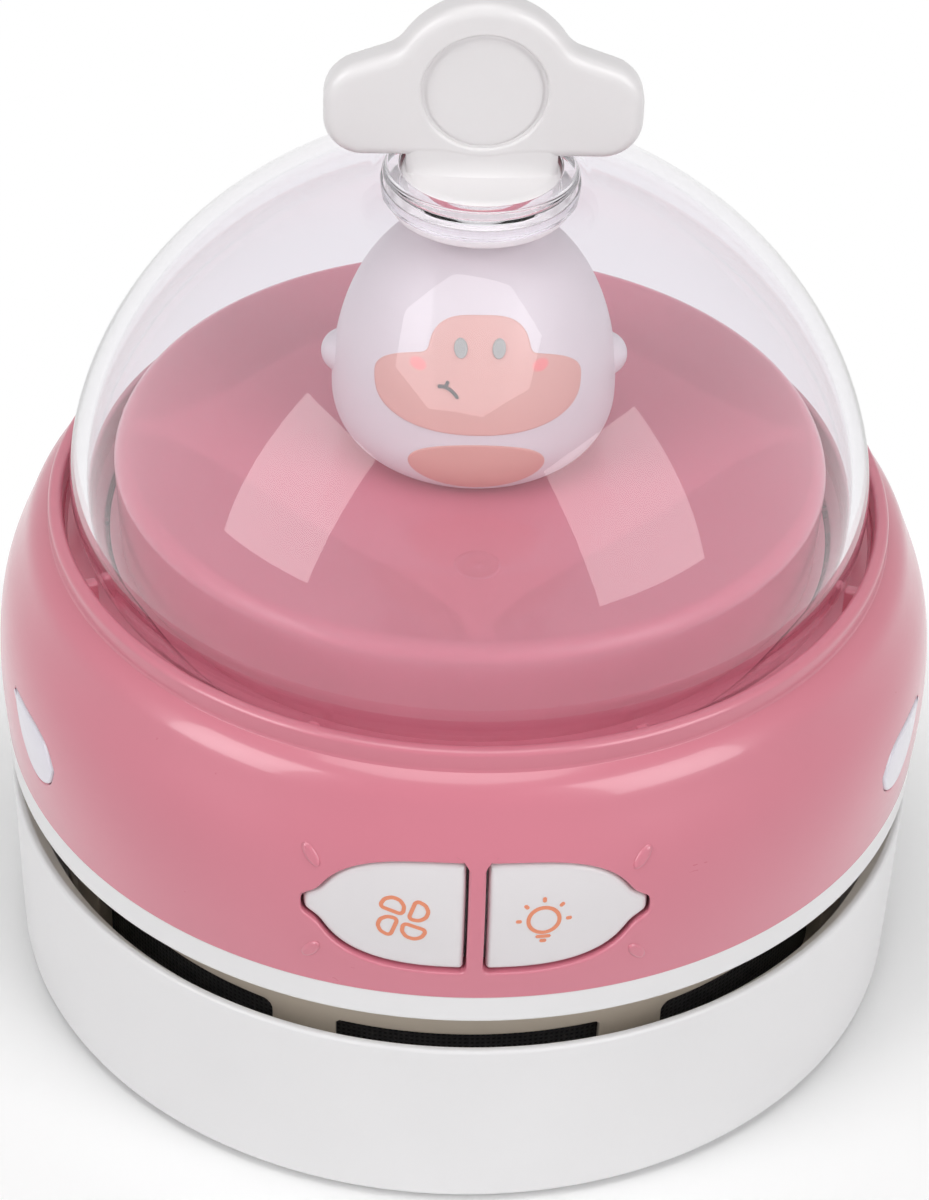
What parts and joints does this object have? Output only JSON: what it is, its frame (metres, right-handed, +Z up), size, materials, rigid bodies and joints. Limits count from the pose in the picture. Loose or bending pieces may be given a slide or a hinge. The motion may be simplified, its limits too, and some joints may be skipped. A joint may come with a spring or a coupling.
{
  "type": "desktop mini vacuum cleaner",
  "caption": "Small round desk vacuum with push buttons, lift-off dust cup, spinning impeller and a clear dome with a turning knob over a figurine.",
  "frame": {"origin": "centre of the footprint on the surface that the glide pads stand on", "axes": "+Z up along the axis of the round body, front with the buttons towards -Y, +X to the right seen from the front"},
  "size_m": [0.0908, 0.0908, 0.1034],
  "materials": {
    "white_plastic": "satin",
    "smoke_plastic": "satin, slightly translucent",
    "screen_mesh": "woven",
    "grey_plastic": "satin",
    "nylon_bristle": "bristle",
    "pad_felt": "felt",
    "steel": "plated",
    "pink_plastic": "polished",
    "white_gloss": "polished",
    "button_white": "satin",
    "black_plastic": "moulded",
    "circuit_board": "solder mask",
    "clear_plastic": "clear",
    "figure_white": "satin",
    "figure_rose": "painted",
    "figure_salmon": "painted",
    "magnet": "sintered",
    "rubber": "moulded",
    "battery_foil": "foil",
    "led_yellow": "resin"
  },
  "bodies": {
    "dust_cup": {"base_skirt": "white_plastic", "cup_floor": "white_plastic", "inlet_duct": "white_plastic", "dust_drum": "smoke_plastic", "mesh_screen": "screen_mesh", "brush_backing": "grey_plastic", "bristles": "nylon_bristle", "glide_pads": "pad_felt", "drum_screws": "steel"},
    "housing": {"chassis": "white_plastic", "shell_screws": "steel", "body_shell": "pink_plastic", "side_inlay_left": "white_gloss", "side_inlay_right": "white_gloss", "fan_switch": "black_plastic", "light_switch": "black_plastic", "button_board": "circuit_board", "top_cover": "pink_plastic", "figurine_body": "figure_white", "figurine_ears": "figure_white", "figurine_face": "figure_rose", "figurine_tummy": "figure_salmon", "motor_can": "steel", "motor_magnets": "magnet", "motor_endcap": "black_plastic", "motor_sleeve": "rubber", "motor_clamp": "steel", "battery": "battery_foil", "battery_cradle": "white_plastic", "charge_board": "circuit_board", "usb_socket": "steel", "led_board": "circuit_board", "led_chips": "led_yellow", "led_screws": "steel", "deck_screws": "steel"},
    "dome": {"clear_dome": "clear_plastic"},
    "knob": {"knob": "white_gloss"},
    "fan_button": {"fan_button": "button_white", "fan_plunger": "black_plastic"},
    "light_button": {"light_button": "button_white", "light_plunger": "black_plastic"},
    "impeller": {"impeller": "grey_plastic", "motor_rotor": "steel"}
  },
  "joints": [
    {"name": "body_lift", "type": "slide", "parent": "dust_cup", "child": "housing", "axis": [0, 0, 1], "range_m": [0, 0.028]},
    {"name": "dome_lift", "type": "slide", "parent": "housing", "child": "dome", "axis": [0, 0, 1], "range_m": [0, 0.045]},
    {"name": "knob_turn", "type": "hinge", "parent": "dome", "child": "knob", "pos_m": [0, 0, 0.085], "axis": [0, 0, 1], "continuous": true},
    {"name": "fan_button_press", "type": "slide", "parent": "housing", "child": "fan_button", "axis": [0, 1, 0], "range_m": [0, 0.0008], "stiffness_N_per_m": 900, "springref_m": -0.0008},
    {"name": "light_button_press", "type": "slide", "parent": "housing", "child": "light_button", "axis": [0, 1, 0], "range_m": [0, 0.0008], "stiffness_N_per_m": 900, "springref_m": -0.0008},
    {"name": "impeller_spin", "type": "hinge", "parent": "housing", "child": "impeller", "pos_m": [0, 0, 0.02], "axis": [0, 0, 1], "continuous": true}
  ]
}
